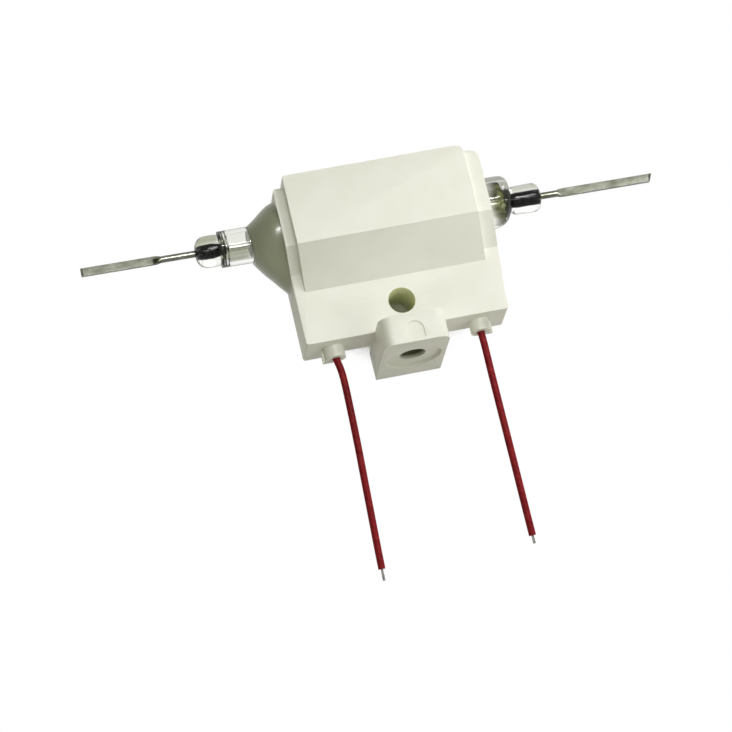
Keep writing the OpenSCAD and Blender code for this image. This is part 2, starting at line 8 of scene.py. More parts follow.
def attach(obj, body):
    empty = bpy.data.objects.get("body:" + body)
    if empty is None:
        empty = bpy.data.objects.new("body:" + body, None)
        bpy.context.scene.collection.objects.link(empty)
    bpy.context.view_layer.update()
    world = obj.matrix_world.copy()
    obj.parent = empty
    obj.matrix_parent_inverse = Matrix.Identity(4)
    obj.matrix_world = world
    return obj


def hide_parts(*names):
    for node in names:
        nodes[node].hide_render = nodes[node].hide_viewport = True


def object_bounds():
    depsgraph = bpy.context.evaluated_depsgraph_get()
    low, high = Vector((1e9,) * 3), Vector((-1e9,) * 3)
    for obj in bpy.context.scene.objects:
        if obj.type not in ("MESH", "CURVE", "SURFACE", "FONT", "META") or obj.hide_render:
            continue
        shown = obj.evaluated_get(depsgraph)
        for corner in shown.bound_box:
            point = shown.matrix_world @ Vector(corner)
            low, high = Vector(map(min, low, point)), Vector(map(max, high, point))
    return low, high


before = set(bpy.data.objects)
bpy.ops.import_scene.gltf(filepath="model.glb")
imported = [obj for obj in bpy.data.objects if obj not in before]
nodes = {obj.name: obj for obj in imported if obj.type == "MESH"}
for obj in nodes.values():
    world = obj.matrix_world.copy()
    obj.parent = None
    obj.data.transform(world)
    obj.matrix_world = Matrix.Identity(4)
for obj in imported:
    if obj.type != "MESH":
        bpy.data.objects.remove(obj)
cad_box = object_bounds()


# Camera: the relay is seen from 70 degrees above its flange, a little left of its front,
# through a long lens that is turned slightly on its side.
eye = (-0.08206, -0.15769, 0.4646)
right = Vector((0.97154, -0.22034, 0.08697))
up = Vector((0.18047, 0.92629, 0.33078))
back = Vector((-0.15345, -0.30567, 0.93969))

camera = bpy.data.objects.new("camera", bpy.data.cameras.new("camera"))
camera.data.lens = 167.21
camera.data.clip_start = 0.02
camera.data.clip_end = 5
camera.matrix_world = Matrix.Translation(eye) @ Matrix((right, up, back)).transposed().to_4x4()
bpy.context.scene.collection.objects.link(camera)
bpy.context.scene.camera = camera


# Hook-up wires: two stranded leads in thin red insulation, extruded over the strands so that
# their lay shows through faintly as a relief, and as painted sheen in lighter and darker red
# along its turns. They come straight out of the pegs, then droop until their stripped ends
# lie just above the panel under the relay.
def start_finish(name):
    """A new material, with its node tree and its shader."""
    finish = bpy.data.materials.new(name)
    finish.use_nodes = True
    return finish, finish.node_tree, finish.node_tree.nodes["Principled BSDF"]


def add(tree, kind, **settings):
    """A new shader node."""
    node = tree.nodes.new(kind)
    for key, value in settings.items():
        setattr(node, key, value)
    return node


def noise(tree, scale, detail=2, stretch=(1, 1, 1)):
    """Cloudy values over the piece, drawn out along an axis where its stretch is below 1."""
    position = add(tree, "ShaderNodeTexCoord")
    mapping = add(tree, "ShaderNodeMapping")
    mapping.inputs["Scale"].default_value = stretch
    tree.links.new(position.outputs["Object"], mapping.inputs["Vector"])
    clouds = add(tree, "ShaderNodeTexNoise")
    clouds.inputs["Scale"].default_value = scale
    clouds.inputs["Detail"].default_value = detail
    tree.links.new(mapping.outputs["Vector"], clouds.inputs["Vector"])
    return clouds.outputs["Fac"]


def bands(tree, direction, scale, distortion=0, detail=2):
    """Values that rise and fall evenly along a direction of the piece."""
    position = add(tree, "ShaderNodeTexCoord")
    wave = add(tree, "ShaderNodeTexWave", bands_direction=direction)
    wave.inputs["Scale"].default_value = scale
    wave.inputs["Distortion"].default_value = distortion
    wave.inputs["Detail"].default_value = detail
    tree.links.new(position.outputs["Object"], wave.inputs["Vector"])
    return wave.outputs["Fac"]


def ramp(tree, value, stops):
    """Colours that follow a value, from stop to stop."""
    node = add(tree, "ShaderNodeValToRGB")
    scale = node.color_ramp.elements
    while len(scale) < len(stops):
        scale.new(0.5)
    for mark, (position, colour) in zip(scale, stops):
        mark.position = position
        mark.color = (*colour, 1)
    tree.links.new(value, node.inputs["Fac"])
    return node.outputs["Color"]


def mottle(tree, shader, value, stops):
    """Gives the piece the colours that follow a value."""
    tree.links.new(ramp(tree, value, stops), shader.inputs["Base Color"])


def emboss(tree, shader, height, strength, distance):
    """Gives the piece a fine relief."""
    bump = add(tree, "ShaderNodeBump")
    bump.inputs["Strength"].default_value = strength
    bump.inputs["Distance"].default_value = distance
    tree.links.new(height, bump.inputs["Height"])
    tree.links.new(bump.outputs["Normal"], shader.inputs["Normal"])


def dress(finish, *names):
    """Puts a finish on solids that the scene keeps."""
    for name in names:
        mesh = nodes[name].data
        mesh.materials.clear()
        mesh.materials.append(finish)


def place(name, data, finish, slot, *stands_for):
    """A new piece of the relay, in place of the solids that it stands for."""
    piece = bpy.data.objects.new(name, data)
    bpy.context.scene.collection.objects.link(piece)
    data.materials.clear()
    data.materials.append(finish)
    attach(piece, "relay")
    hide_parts(*stands_for)
    return piece


def eased(points, steps):
    """Points on a smooth curve through the given ones."""
    ends = [points[0], *points, points[-1]]
    line = []
    for a, b, c, d in zip(ends, ends[1:], ends[2:], ends[3:]):
        for k in range(steps):
            t = k / steps
            line.append(tuple(0.5 * (2 * q + (r - p) * t + (2 * p - 5 * q + 4 * r - s) * t * t
                                     + (3 * q - p - 3 * r + s) * t ** 3)
                              for p, q, r, s in zip(a, b, c, d)))
    return [*line, tuple(points[-1])]


def drawn(name, routes, d, roundness):
    """Round wire along one or more routes."""
    curve = bpy.data.curves.new(name, "CURVE")
    curve.dimensions = "3D"
    curve.bevel_depth = d / 2
    curve.bevel_resolution = roundness
    curve.use_fill_caps = True
    for route in routes:
        line = curve.splines.new("POLY")
        line.points.add(len(route) - 1)
        line.use_smooth = True
        for dot, spot in zip(line.points, route):
            dot.co = (*spot, 1)
    return curve


def laid(end, out, bare):
    """The seven strands of a stripped end: one in the middle and six laid round it."""
    hidden = 0.0003
    twist = 0.22
    across = out.cross(Vector((0, 0, 1))).normalized()
    lift = across.cross(out)
    lines = []
    for strand in range(7):
        lay_r = 0.00011 if strand else 0
        splay = 0.02 * (strand % 3)
        line = []
        for step in range(7):
            turn = strand * math.pi / 3 + step * twist
            swing = math.cos(turn) * across + math.sin(turn) * lift
            line.append(end + out * ((bare + hidden) * step / 6 - hidden)
                        + swing * lay_r * (1 + splay * step))
        lines.append(line)
    return lines


# The bends are in mm from a peg's mouth: to the right, forward and down.
wire_d = 0.00105
strand_d = 0.00014
peg_x = 10.8
peg_mouth = -5.9
peg_height = 3.75
left_bend = [(0, 0, 0), (0.1, 0.5, 0.03), (0.28, 1.4, 0.1), (0.4, 2.6, 0.18), (0.44, 4, 0.27),
             (0.44, 6, 0.43), (0.43, 8, 0.65), (0.42, 10, 0.93), (0.41, 12, 1.26),
             (0.4, 14, 1.64), (0.38, 16, 2.06), (0.36, 18, 2.51), (0.35, 20, 2.97),
             (0.34, 22, 3.44), (0.33, 24, 3.92), (0.32, 26, 4.39), (0.31, 28, 4.85),
             (0.3, 30.6, 5.33)]
right_bend = [(0, 0, 0), (0.03, 0.5, 0.03), (0.07, 1.4, 0.08), (0.09, 2.6, 0.14), (0.1, 4, 0.22),
              (0.12, 6, 0.4), (0.17, 8, 0.62), (0.23, 10, 0.9), (0.3, 12, 1.23),
              (0.39, 14, 1.61), (0.48, 16, 2.03), (0.58, 18, 2.48), (0.68, 20, 2.95),
              (0.78, 22, 3.43), (0.88, 24, 3.91), (0.98, 26, 4.38), (1.08, 28, 4.84),
              (1.18, 30, 5.28)]
left_route = [Vector((x - peg_x, peg_mouth - y, peg_height - z)) / 1000 for x, y, z in left_bend]
right_route = [Vector((x + peg_x, peg_mouth - y, peg_height - z)) / 1000 for x, y, z in right_bend]

insulation, tree, shader = start_finish("wire insulation")
shader.inputs["Roughness"].default_value = 0.45
shader.inputs["Specular IOR Level"].default_value = 0.05
# Painted sheen: the base colour follows the diagonal bands of the strand lay.
skin = add(tree, "ShaderNodeMix", data_type="FLOAT")
skin.inputs["Factor"].default_value = 0.88
tree.links.new(bands(tree, "DIAGONAL", 520, 2, 1), skin.inputs["A"])
tree.links.new(noise(tree, 700, 4), skin.inputs["B"])
mottle(tree, shader, skin.outputs["Result"],
       ((0.3, (0.16, 0.006, 0.01)), (0.7, (0.29, 0.018, 0.022))))
emboss(tree, shader, skin.outputs["Result"], 0.2, 0.00004)

tinned, tree, shader = start_finish("tinned strands")
shader.inputs["Metallic"].default_value = 1
shader.inputs["Roughness"].default_value = 0.55
mottle(tree, shader, noise(tree, 5000), ((0.35, (0.12, 0.12, 0.11)), (0.65, (0.22, 0.22, 0.2))))

for side, route, bare in (("left", left_route, 0.00169), ("right", right_route, 0.00119)):
    wire = place(side + "_hookup_wire",
                 drawn(side + " insulation", [eased(route, 3)], wire_d, 10),
                 insulation, "wire_insulation", side + "_wire")
    out = (route[-1] - route[-2]).normalized()
    strands = place(side + "_bare_strands",
                    drawn(side + " strands", laid(route[-1], out, bare), strand_d, 3),
                    tinned, "tinned_wire", side + "_wire_end")
    dress(insulation, side + "_wire_inner")


# Housing: one ivory moulding with a satin skin. The tool's edges are slightly soft, so the
# shell is a copy of the solid, merged, with its sharp edges rounded off by a bevel. Its holes
# and the underside of the peg feet are painted darker, as painted shade.
def joined(tree, operation, *masks):
    """One mask from several: MULTIPLY for what all of them cover, MAXIMUM for what any does."""
    so_far = masks[0]
    for mask in masks[1:]:
        step = add(tree, "ShaderNodeMath", operation=operation)
        tree.links.new(so_far, step.inputs[0])
        tree.links.new(mask, step.inputs[1])
        so_far = step.outputs["Value"]
    return so_far


def zone(tree, axis, start, end):
    """A mask that rises from 0 to 1 between two places in metres along X, Y or Z."""
    position = add(tree, "ShaderNodeTexCoord")
    split = add(tree, "ShaderNodeSeparateXYZ")
    rise = add(tree, "ShaderNodeMapRange", interpolation_type="SMOOTHSTEP")
    rise.inputs["From Min"].default_value = start
    rise.inputs["From Max"].default_value = end
    tree.links.new(position.outputs["Object"], split.inputs["Vector"])
    tree.links.new(split.outputs[axis], rise.inputs["Value"])
    return rise.outputs["Result"]


def bored(tree, spot, across, r, fade):
    """A mask that is 1 inside a bore and falls to 0 past its wall; across is 0 along the bore."""
    position = add(tree, "ShaderNodeTexCoord")
    shift = add(tree, "ShaderNodeVectorMath", operation="SUBTRACT")
    shift.inputs[1].default_value = spot
    flat = add(tree, "ShaderNodeVectorMath", operation="MULTIPLY")
    flat.inputs[1].default_value = across
    far = add(tree, "ShaderNodeVectorMath", operation="LENGTH")
    near = add(tree, "ShaderNodeMapRange")
    near.inputs["From Min"].default_value = r + fade
    near.inputs["From Max"].default_value = r
    tree.links.new(position.outputs["Object"], shift.inputs[0])
    tree.links.new(shift.outputs["Vector"], flat.inputs[0])
    tree.links.new(flat.outputs["Vector"], far.inputs[0])
    tree.links.new(far.outputs["Value"], near.inputs["Value"])
    return near.outputs["Result"]


def layer(tree, mask, under, colour, blend_type="MIX"):
    """A colour over another one, where a mask covers it."""
    mix = add(tree, "ShaderNodeMix", data_type="RGBA", blend_type=blend_type)
    mix.inputs["B"].default_value = (*colour, 1)
    tree.links.new(mask, mix.inputs["Factor"])
    tree.links.new(under, mix.inputs["A"])
    return mix.outputs["Result"]


shape = bmesh.new()
shape.from_mesh(nodes["housing"].data)
bmesh.ops.remove_doubles(shape, verts=shape.verts, dist=2e-6)
bmesh.ops.dissolve_limit(shape, angle_limit=math.radians(0.5), verts=shape.verts,
                         edges=shape.edges, use_dissolve_boundaries=False)
moulded = bpy.data.meshes.new("moulded shell")
shape.to_mesh(moulded)
shape.free()
moulded.shade_smooth()

ivory, tree, shader = start_finish("ivory moulding")
shader.inputs["Roughness"].default_value = 0.5
shader.inputs["Specular IOR Level"].default_value = 0.35
tone = ramp(tree, noise(tree, 240, 5),
            ((0.3, (0.82, 0.818, 0.745)), (0.7, (0.855, 0.852, 0.79))))
# Painted shade: the flange's screw hole is tinted olive inside its bore.
screw_hole_painted_shade = bored(tree, (0, 0, 0), (1, 1, 0), 0.002, 0.00002)
tone = layer(tree, screw_hole_painted_shade, tone, (0.78, 0.8, 0.54))
# Painted shade: the deeper part of the lug's hole is painted nearly black.
lug_hole_painted_shade = joined(tree, "MULTIPLY", bored(tree, (0, 0, 0.005), (1, 0, 1), 0.00197, 0.00002),
                  zone(tree, "Y", -0.0077, -0.0069), zone(tree, "Y", -0.003, -0.0032))
tone = layer(tree, lug_hole_painted_shade, tone, (0.1, 0.105, 0.05))
pegs = joined(tree, "MAXIMUM", zone(tree, "X", -0.008, -0.0085), zone(tree, "X", 0.008, 0.0085))
# Painted shade: the underside of the peg feet is painted darker olive.
peg_feet_painted_shade = joined(tree, "MULTIPLY", pegs, zone(tree, "Y", -0.0041, -0.0043),
                  zone(tree, "Z", 0.0026, 0.0012))
tone = layer(tree, peg_feet_painted_shade, tone, (0.4, 0.41, 0.3))
tree.links.new(tone, shader.inputs["Base Color"])
emboss(tree, shader, noise(tree, 4200, 4), 0.3, 0.00002)

shell = place("moulded_shell", moulded, ivory, "housing_plastic", "housing")
soft = shell.modifiers.new("soft edges", "BEVEL")
soft.width = 0.00016
soft.segments = 3
soft.limit_method = "ANGLE"
soft.angle_limit = math.radians(24)
soft.use_clamp_overlap = True
soft.harden_normals = True


# Resin cone: olive-grey casting resin that ran out at the end of the housing and set round
# the glass tube, thin over the flange's end and full round the tube.
def hull_reach(aim, shift, r, reach, front):
    """How far a section of the cone reaches from the tube's axis in one direction.

    The section is the hull of a disc round the tube and a smaller one over the flange.
    """
    drop = 0.29
    steps = 24
    far = 0
    for step in range(steps + 1):
        share = step / steps
        middle = Vector((shift * (1 - share) - reach * share, -drop * share))
        size = r * (1 - share) + front * share
        along = middle.dot(aim)
        room = size * size - middle.length_squared + along * along
        if room > 0:
            far = max(far, along + math.sqrt(room))
    return far


def bridged(name, rings, capped=(True, True)):
    """A smooth skin over rings of points, each ring a circle that is pushed into shape."""
    shape = bmesh.new()
    loops = []
    for ring in rings:
        made = bmesh.ops.create_circle(shape, segments=len(ring), radius=0.001)
        for vert, spot in zip(made["verts"], ring):
            vert.co = spot
        loops.append(list({edge for vert in made["verts"] for edge in vert.link_edges}))
    for loop, following in zip(loops, loops[1:]):
        bmesh.ops.bridge_loops(shape, edges=loop + following)
    for loop, wanted in zip((loops[0], loops[-1]), capped):
        if wanted:
            bmesh.ops.contextual_create(shape, geom=loop)
    bmesh.ops.recalc_face_normals(shape, faces=shape.faces)
    mesh = bpy.data.meshes.new(name)
    shape.to_mesh(mesh)
    shape.free()
    mesh.shade_smooth()
    return mesh


axis_y = 13.4
axis_z = 4
cone_x = -15
cone_l = 4.62
cone_sides = 96
mouth_slant = 0.45
mouth_flare = 0.3
# Each row: how far out, the large disc's shift and radius, the small one's reach and radius.
cone_rows = [(0, 0.9, 4.88, 6.2, 2.95), (0.25, 0.85, 4.85, 5.3, 2.9), (1.15, 0.6, 4.72, 4.2, 2.85),
             (2.2, 0.25, 4.3, 2.5, 3.15), (3.2, 0, 3.75, 1, 3.45), (4.05, 0, 3.15, 0.3, 3.1),
             (4.5, 0, 2.85, 0, 2.85), (cone_l, 0, 2.72, 0, 2.72)]
rings = []
for out, shift, r, reach, front in eased(cone_rows, 4):
    slant = mouth_slant * (out / cone_l) ** 3
    ring = []
    for k in range(cone_sides):
        turn = 2 * math.pi * k / cone_sides
        aim = Vector((math.cos(turn), math.sin(turn)))
        far = hull_reach(aim, shift, r, reach, front)
        fore = 0.5 - 0.5 * aim.x
        ring.append(Vector((cone_x - out + slant * fore,
                            axis_y + (far + mouth_flare * slant * fore) * aim.x,
                            axis_z + far * aim.y)) / 1000)
    rings.append(ring)

olive, tree, shader = start_finish("olive casting resin")
shader.inputs["Roughness"].default_value = 0.3
shader.inputs["Coat Weight"].default_value = 0.12
shader.inputs["Coat Roughness"].default_value = 0.08
tone = ramp(tree, noise(tree, 160, 3),
            ((0.3, (0.172, 0.186, 0.116)), (0.72, (0.245, 0.255, 0.168))))
thin_front = zone(tree, "Y", 0.016, 0.008)
tone = layer(tree, thin_front, tone, (0.33, 0.345, 0.24))
tree.links.new(tone, shader.inputs["Base Color"])
emboss(tree, shader, noise(tree, 420), 0.45, 0.0001)
place("resin_cone_skin", bridged("resin cone", rings), olive, "cone_resin", "resin_cone")


# Reed switch glass: a soda-glass tube whose ends were melted down on the reeds, drawn in to a
# neck and left as a solid nose. The clear bell is cast on it, so no skin of glass lies
# between the two: the tube's skin stops inside the housing and goes on at the right neck.
def spun(name, *outlines, inward=False, steps=4, sides=72):
    """Round pieces from half outlines in mm along the switch, facing out or inward."""
    joint = bmesh.new()
    for outline in outlines:
        shape = bmesh.new()
        dots = [shape.verts.new((x / 1000, r / 1000, 0)) for x, r in eased(outline, steps)]
        lines = [shape.edges.new(pair) for pair in zip(dots, dots[1:])]
        bmesh.ops.spin(shape, geom=dots + lines, cent=(0, 0, 0), axis=(1, 0, 0), dvec=(0, 0, 0),
                       angle=2 * math.pi, steps=sides, use_merge=True)
        bmesh.ops.recalc_face_normals(shape, faces=shape.faces)
        if inward:
            bmesh.ops.reverse_faces(shape, faces=shape.faces)
        bmesh.ops.transform(shape, matrix=switch, verts=shape.verts)
        part = bpy.data.meshes.new("part")
        shape.to_mesh(part)
        shape.free()
        joint.from_mesh(part)
        bpy.data.meshes.remove(part)
    mesh = bpy.data.meshes.new(name)
    joint.to_mesh(mesh)
    joint.free()
    mesh.shade_smooth()
    return mesh


def slantwise(tree):
    """A value that is 0 where the surface faces the viewer and 1 where it is seen along."""
    weight = add(tree, "ShaderNodeLayerWeight")
    weight.inputs["Blend"].default_value = 0.5
    return weight.outputs["Facing"]


switch_middle = Vector((-1.6, axis_y, axis_z)) / 1000
switch = Matrix.Translation(switch_middle) @ Matrix.Rotation(math.radians(-0.7), 4, "Z")
left_skin = [(-25.98, 0.46), (-25.93, 0.62), (-25.86, 0.95), (-25.72, 1.4), (-25.4, 1.88),
             (-24.95, 2.2), (-24.4, 2.33), (-23.6, 2.36), (-22.95, 2.35), (-22.68, 2.31),
             (-22.5, 2.28), (-22.34, 2.34), (-22.14, 2.52), (-21.85, 2.66), (-21.3, 2.7),
             (-10, 2.7), (0, 2.7), (10, 2.7), (15, 2.7)]
right_skin = [(21, 1.62), (21.3, 1.74), (21.55, 1.97), (22, 2.09), (23.2, 2.13), (24.6, 2.15),
              (25.1, 2.08), (25.5, 1.8), (25.74, 1.35), (25.87, 0.9), (25.93, 0.62), (25.98, 0.46)]
space = [(-22, 0.46), (-21.97, 0.9), (-21.86, 1.4), (-21.64, 1.78), (-21.3, 2.02), (-20.8, 2.1),
         (0, 2.1), (19.1, 2.1), (19.8, 2.04), (20.35, 1.82), (20.7, 1.4), (20.86, 0.9), (20.9, 0.46)]

clear, tree, shader = start_finish("soda glass")
shader.inputs["Roughness"].default_value = 0.03
shader.inputs["IOR"].default_value = 1.5
shader.inputs["Transmission Weight"].default_value = 1
shader.inputs["Specular IOR Level"].default_value = 0.12
shader.inputs["Specular Tint"].default_value = (0.3, 0.3, 0.29, 1)
# Painted reflection and shade: the backs of both noses are tinted grey, the front of the left tube
# is darkened, and its back a little.
left_nose_painted_reflection = joined(tree, "MULTIPLY", zone(tree, "X", -0.0238, -0.0244),
                        zone(tree, "Y", 0.0138, 0.0146))
right_nose_painted_reflection = joined(tree, "MULTIPLY", zone(tree, "X", 0.0196, 0.0202),
                         zone(tree, "Y", 0.0134, 0.0142))
left_tube = joined(tree, "MULTIPLY", zone(tree, "X", -0.0243, -0.0238),
                   zone(tree, "X", -0.0175, -0.0205))
left_tube_front_painted_shade = joined(tree, "MULTIPLY", left_tube, zone(tree, "Y", 0.0132, 0.0124),
                         zone(tree, "Y", 0.011, 0.0118))
left_tube_back_painted_reflection = joined(tree, "MULTIPLY", left_tube, zone(tree, "Y", 0.0124, 0.0134))
# Painted reflection: the glass is coloured nearly black where it is seen along, for the dark
# surroundings that its edges show.
tone = ramp(tree, slantwise(tree), ((0.4, (0.97, 0.975, 0.955)), (0.68, (0.7, 0.71, 0.63)),
                                    (0.82, (0.02, 0.02, 0.012))))
for mask, colour in ((left_nose_painted_reflection, (0.42, 0.43, 0.33)), (right_nose_painted_reflection, (0.6, 0.6, 0.54)),
                     (left_tube_front_painted_shade, (0.2, 0.21, 0.14)), (left_tube_back_painted_reflection, (0.86, 0.86, 0.83))):
    tone = layer(tree, mask, tone, colour, "MULTIPLY")
tree.links.new(tone, shader.inputs["Base Color"])
emboss(tree, shader, noise(tree, 300), 0.1, 0.00005)
place("switch_glass_skin", spun("switch glass", left_skin, right_skin), clear, "switch_glass",
      "glass_tube")

inner, tree, shader = start_finish("wall of the sealed space")
shader.inputs["Roughness"].default_value = 0.03
shader.inputs["IOR"].default_value = 1.5
shader.inputs["Transmission Weight"].default_value = 1
shader.inputs["Specular Tint"].default_value = (0.3, 0.3, 0.29, 1)
# Painted reflection: the wall is coloured darker where it is seen along.
tone = ramp(tree, slantwise(tree), ((0.4, (0.97, 0.975, 0.955)), (0.8, (0.75, 0.76, 0.68)),
                                    (0.95, (0.25, 0.26, 0.2))))
# Painted shade: the right end of the wall is tinted olive.
right_end_painted_shade = zone(tree, "X", 0.0164, 0.0182)
tone = layer(tree, right_end_painted_shade, tone, (0.55, 0.58, 0.3), "MULTIPLY")
tree.links.new(tone, shader.inputs["Base Color"])
emboss(tree, shader, noise(tree, 300), 0.1, 0.00005)
place("sealed_space_wall", spun("sealed space", space, inward=True), inner, "switch_glass")


# Painted reflection and shade: a thin, patchy olive sheet round each end of the sealed space,
# nearly black at the right end, that stands for the reflections and shade seen in the glass
# there.
left_film = [(-22.04, 0.5), (-22.01, 0.92), (-21.9, 1.42), (-21.67, 1.82), (-21.32, 2.06),
             (-20.8, 2.14)]
right_film = [(17.2, 2.15), (19.1, 2.15), (19.82, 2.09), (20.39, 1.86), (20.74, 1.43),
              (20.9, 0.92), (20.94, 0.72)]

film_paint, tree, shader = start_finish("painted reflection and shade film")
shader.inputs["Roughness"].default_value = 0.6
shader.inputs["Specular IOR Level"].default_value = 0.05
tone = ramp(tree, noise(tree, 900, 3, (0.3, 1, 1)),
            ((0.35, (0.04, 0.044, 0.018)), (0.65, (0.24, 0.25, 0.1))))
# Painted shade: the film's right end is nearly black.
right_end_painted_black = zone(tree, "X", 0.0178, 0.0186)
tone = layer(tree, right_end_painted_black, tone, (0.012, 0.013, 0.005))
tree.links.new(tone, shader.inputs["Base Color"])
left_back_painted_reflection = joined(tree, "MULTIPLY", zone(tree, "X", -0.0232, -0.0236),
                   zone(tree, "Y", 0.013, 0.0138))
both_ends = joined(tree, "MAXIMUM", left_back_painted_reflection, zone(tree, "X", 0.0164, 0.0182))
patches = add(tree, "ShaderNodeMapRange")
patches.inputs["From Min"].default_value = 0.3
patches.inputs["From Max"].default_value = 0.6
patches.inputs["To Min"].default_value = 0.75
patches.inputs["To Max"].default_value = 1
tree.links.new(noise(tree, 700, 3, (0.3, 1, 1)), patches.inputs["Value"])
cover = joined(tree, "MULTIPLY", both_ends, patches.outputs["Result"])
tree.links.new(cover, shader.inputs["Alpha"])
film = bpy.data.objects.new("painted_reflection_and_shade_film", spun("painted reflection and shade film", left_film, right_film))
bpy.context.scene.collection.objects.link(film)
film.data.materials.append(film_paint)
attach(film, "relay")


# Clear resin bell: a drop of clear resin cast round the other end of the tube. It stands
# square at the back and runs down rounder at the front, onto the neck of the glass.
bell_x = 15.67
bell_y = 13.33
bell_r = 3.865
bell_l = 3.98
bell_sides = 72
bell_steps = 25
back_power = 7
front_power = 2.9
neck_r = 1.66
stem_x = 14.2
stem_r = 3.26

turns = [2 * math.pi * k / bell_sides for k in range(bell_sides)]
bell_rings = [[Vector((x, axis_y + stem_r * math.cos(turn),
                       axis_z + stem_r * math.sin(turn))) / 1000 for turn in turns]
              for x in (stem_x, bell_x)]
for k in range(bell_steps + 1):
    depth = math.sin(k / bell_steps * math.pi / 2)
    ring = []
    for turn in turns:
        fore = 0.5 - 0.5 * math.cos(turn)
        power = back_power + (front_power - back_power) * fore
        r = max(bell_r * (1 - depth ** power) ** (1 / power), neck_r)
        ring.append(Vector((bell_x + bell_l * depth, bell_y + r * math.cos(turn),
                            axis_z + r * math.sin(turn))) / 1000)
    bell_rings.append(ring)

resin, tree, shader = start_finish("clear casting resin")
shader.inputs["Roughness"].default_value = 0.05
shader.inputs["Specular IOR Level"].default_value = 0.2
shader.inputs["Specular Tint"].default_value = (0.35, 0.35, 0.33, 1)
shader.inputs["IOR"].default_value = 1.5
shader.inputs["Transmission Weight"].default_value = 1
# Painted reflection: the resin is coloured nearly black where it is seen along.
tone = ramp(tree, slantwise(tree), ((0.4, (0.89, 0.895, 0.84)), (0.7, (0.6, 0.62, 0.52)),
                                    (0.85, (0.05, 0.05, 0.035))))
# Painted shade: the back half of the bell is darkened.
back_half_painted_shade = zone(tree, "Y", 0.015, 0.0158)
tone = layer(tree, back_half_painted_shade, tone, (0.24, 0.24, 0.21), "MULTIPLY")
tree.links.new(tone, shader.inputs["Base Color"])
emboss(tree, shader, noise(tree, 260), 0.15, 0.0001)
place("clear_bell", bridged("clear bell", bell_rings, (True, False)), resin, "bell_resin",
      "resin_bell")


# Sealing beads: glass fused on each reed inside its nose, thinner towards the inside, and a
# little uneven where it flowed. They are coloured nearly black as painted shade, for the dark
# surroundings seen through the nose.
left_bead = [(-25.8, 0.49), (-25.78, 0.62), (-25.6, 0.74), (-24.8, 0.75), (-24.1, 0.74),
             (-23.4, 0.75), (-22.9, 0.68), (-22.4, 0.6), (-22, 0.55), (-22, 0.49)]
right_bead = [(20.9, 0.49), (20.9, 0.56), (21.4, 0.66), (22.1, 0.75), (23.2, 0.74),
              (24.4, 0.75), (25.6, 0.74), (25.78, 0.62), (25.8, 0.49)]

seal_painted_black, tree, shader = start_finish("sealing glass")
shader.inputs["Roughness"].default_value = 0.1
shader.inputs["Specular IOR Level"].default_value = 0.08
mottle(tree, shader, noise(tree, 900, 3),
       ((0.4, (0.001, 0.001, 0.0008)), (0.75, (0.004, 0.0035, 0.003))))
place("left_bead", spun("left bead", left_bead, steps=3, sides=40), seal_painted_black, "seal_glass",
      "left_seal")
place("right_bead", spun("right bead", right_bead, steps=3, sides=40), seal_painted_black, "seal_glass",
      "right_seal")


# Reeds: drawn nickel-iron wire. Outside the glass each one is round at first, then pressed
# flat; the right one's flat is longer and its end is cut on a slant. Inside the glass each
# ends in a pressed blade with a plated contact.
def lead_rings(length, flat, root, slant):
    """Outlines in mm along a lead, from its flat's tip to its root inside the glass.

    A power of 2 makes an outline round, and a high one gives the flat its sharp edges.
    """
    round_r = 0.5
    half_w = 0.58
    half_t = 0.33
    shoulder = 1.1
    shoulder_end = flat + 0.9 - length
    steps = 59
    sides = 32
    rings = []
    for k in range(steps + 1):
        x = (length + root) * k / steps - length
        press = min(max((shoulder_end - x) / shoulder, 0), 1)
        press = press * press * (3 - 2 * press)
        wide = round_r + (half_w - round_r) * press
        thick = round_r + (half_t - round_r) * press
        power = 2 + 90 * press
        ring = []
        for side in range(sides):
            turn = 2 * math.pi * (side + 0.5) / sides
            c = math.cos(turn)
            s = math.sin(turn)
            y = wide * math.copysign(abs(c) ** (2 / power), c)
            z = thick * math.copysign(abs(s) ** (2 / power), s)
            ring.append((x + (slant * y if k == 0 else 0), y, z))
        rings.append(ring)
    return rings


reed, tree, shader = start_finish("nickel-iron wire")
shader.inputs["Metallic"].default_value = 1
shader.inputs["Roughness"].default_value = 0.28
tone = ramp(tree, noise(tree, 900, 4, (0.55, 1, 1)),
            ((0.32, (0.088, 0.094, 0.066)), (0.5, (0.137, 0.143, 0.113)),
             (0.68, (0.2, 0.203, 0.17))))
# Painted shade: a dark patch on the left lead where its flat meets the round shank.
left_step_painted_shade = joined(tree, "MULTIPLY", zone(tree, "X", -0.0339, -0.0336),
                   zone(tree, "X", -0.0324, -0.033), zone(tree, "Y", 0.01405, 0.01385))
tone = layer(tree, left_step_painted_shade, tone, (0.02, 0.022, 0.012))
tree.links.new(tone, shader.inputs["Base Color"])
emboss(tree, shader, noise(tree, 1400, 4, (0.06, 1, 1)), 0.25, 0.00002)
for side, length, flat, root, slant, seal_x, heading in (
        ("left", 16.8, 10.6, 4.8, 0, -0.0259, 0), ("right", 16.9, 13.4, 5.9, 0.41667, 0.0259, 180)):
    seal = (switch @ Matrix.Translation((seal_x, 0, 0))
            @ Matrix.Rotation(math.radians(heading), 4, "Z"))
    rings = [[seal @ (Vector(point) / 1000) for point in ring]
             for ring in lead_rings(length, flat, root, slant)]
    place(side + "_reed_lead", bridged(side + " lead", rings), reed, "lead_metal", side + "_lead")

blade, tree, shader = start_finish("pressed reed blade")
shader.inputs["Metallic"].default_value = 1
shader.inputs["Roughness"].default_value = 0.3
brushed = noise(tree, 2200, 4, (0.05, 1, 1))
mottle(tree, shader, brushed, ((0.3, (0.72, 0.72, 0.68)), (0.7, (0.9, 0.9, 0.87))))
emboss(tree, shader, brushed, 0.2, 0.00002)
dress(blade, "left_blade", "right_blade")

